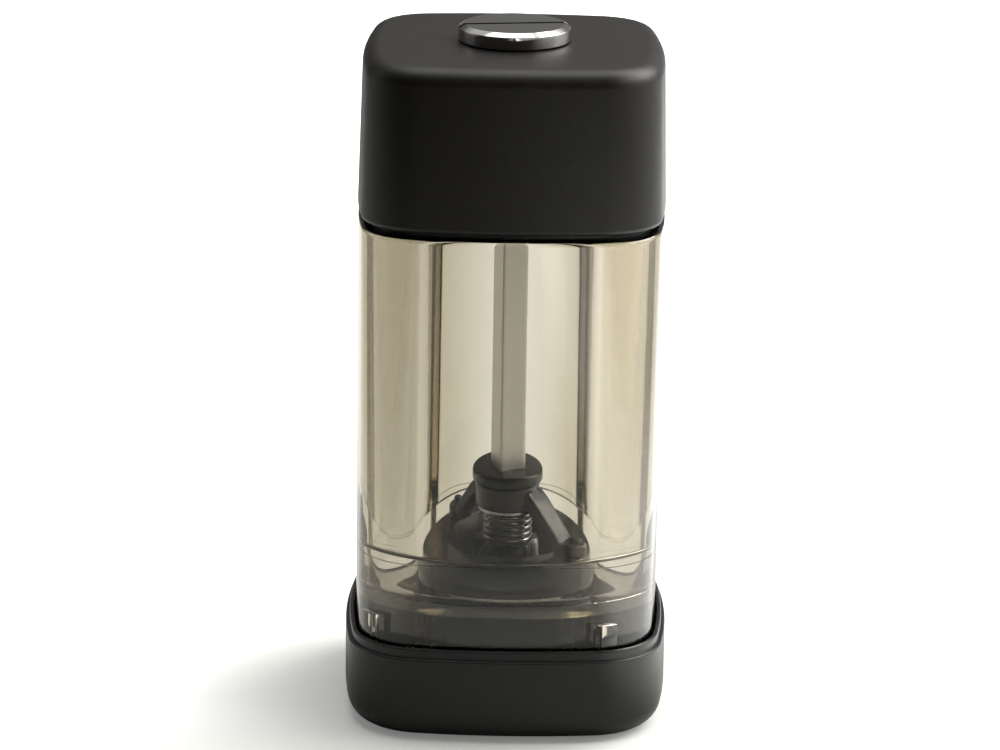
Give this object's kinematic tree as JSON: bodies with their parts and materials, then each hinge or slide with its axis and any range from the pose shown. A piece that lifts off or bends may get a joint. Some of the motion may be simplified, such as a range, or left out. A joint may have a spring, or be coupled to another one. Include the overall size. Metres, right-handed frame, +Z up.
{
  "type": "pepper mill",
  "caption": "Hand-turned pepper mill with a matte black cap, slotted chrome adjusting nut, clear smoke body with a round bore, square shaft, conical burr grinder and a black dust tray.",
  "frame": {"origin": "middle of the tray's underside, on the surface that the mill stands on", "axes": "+Z up along the shaft; -Y is the side that faces the camera in the picture; +X to its right"},
  "size_m": [0.064, 0.064, 0.1366],
  "materials": {
    "cap_soft_black": "soft-touch matte",
    "tray_black": "satin",
    "clear_smoke": "clear smoke-tan, polished",
    "gloss_black": "gloss",
    "shaft_aluminium": "drawn, matte",
    "burr_steel": "dark hardened",
    "fastener_steel": "plain",
    "nut_chrome": "polished"
  },
  "bodies": {
    "tray_body": {"tray": "tray_black"},
    "mill": {"body_block": "clear_smoke", "base_plate": "clear_smoke", "grinder_drum": "gloss_black", "drum_clip": "fastener_steel", "stator": "burr_steel", "stator_ring": "fastener_steel", "spider": "gloss_black", "spider_screws": "fastener_steel"},
    "drive": {"drive_bush": "gloss_black", "bush_clip": "fastener_steel"},
    "shaft": {"square_shaft": "shaft_aluminium", "rotor": "burr_steel", "rotor_washer": "fastener_steel", "rotor_screw": "fastener_steel", "spring": "fastener_steel"},
    "cap": {"cap_shell": "cap_soft_black", "cap_base": "tray_black", "cap_screws": "fastener_steel", "drive_insert": "fastener_steel", "glide_ring": "tray_black", "nut_seat": "fastener_steel"},
    "nut": {"adjust_nut": "nut_chrome"}
  },
  "joints": [
    {"name": "body_lift", "type": "slide", "parent": "tray_body", "child": "mill", "axis": [0, 0, 1], "range_m": [0, 0.05]},
    {"name": "head_turn", "type": "hinge", "parent": "mill", "child": "drive", "pos_m": [0, 0, 0.0465], "axis": [0, 0, 1], "continuous": true},
    {"name": "shaft_lift", "type": "slide", "parent": "drive", "child": "shaft", "axis": [0, 0, 1], "range_m": [-0.0005, 0.0005], "deforming": ["spring"]},
    {"name": "cap_lift", "type": "slide", "parent": "drive", "child": "cap", "axis": [0, 0, 1], "range_m": [0, 0.045]},
    {"name": "nut_turn", "type": "hinge", "parent": "cap", "child": "nut", "pos_m": [0, 0, 0.1334], "axis": [0, 0, 1], "range_deg": [-180, 180]}
  ],
  "couplings": [
    {"joint": "nut_turn", "follows": "shaft_lift", "rad_per_m": -6283.2}
  ]
}
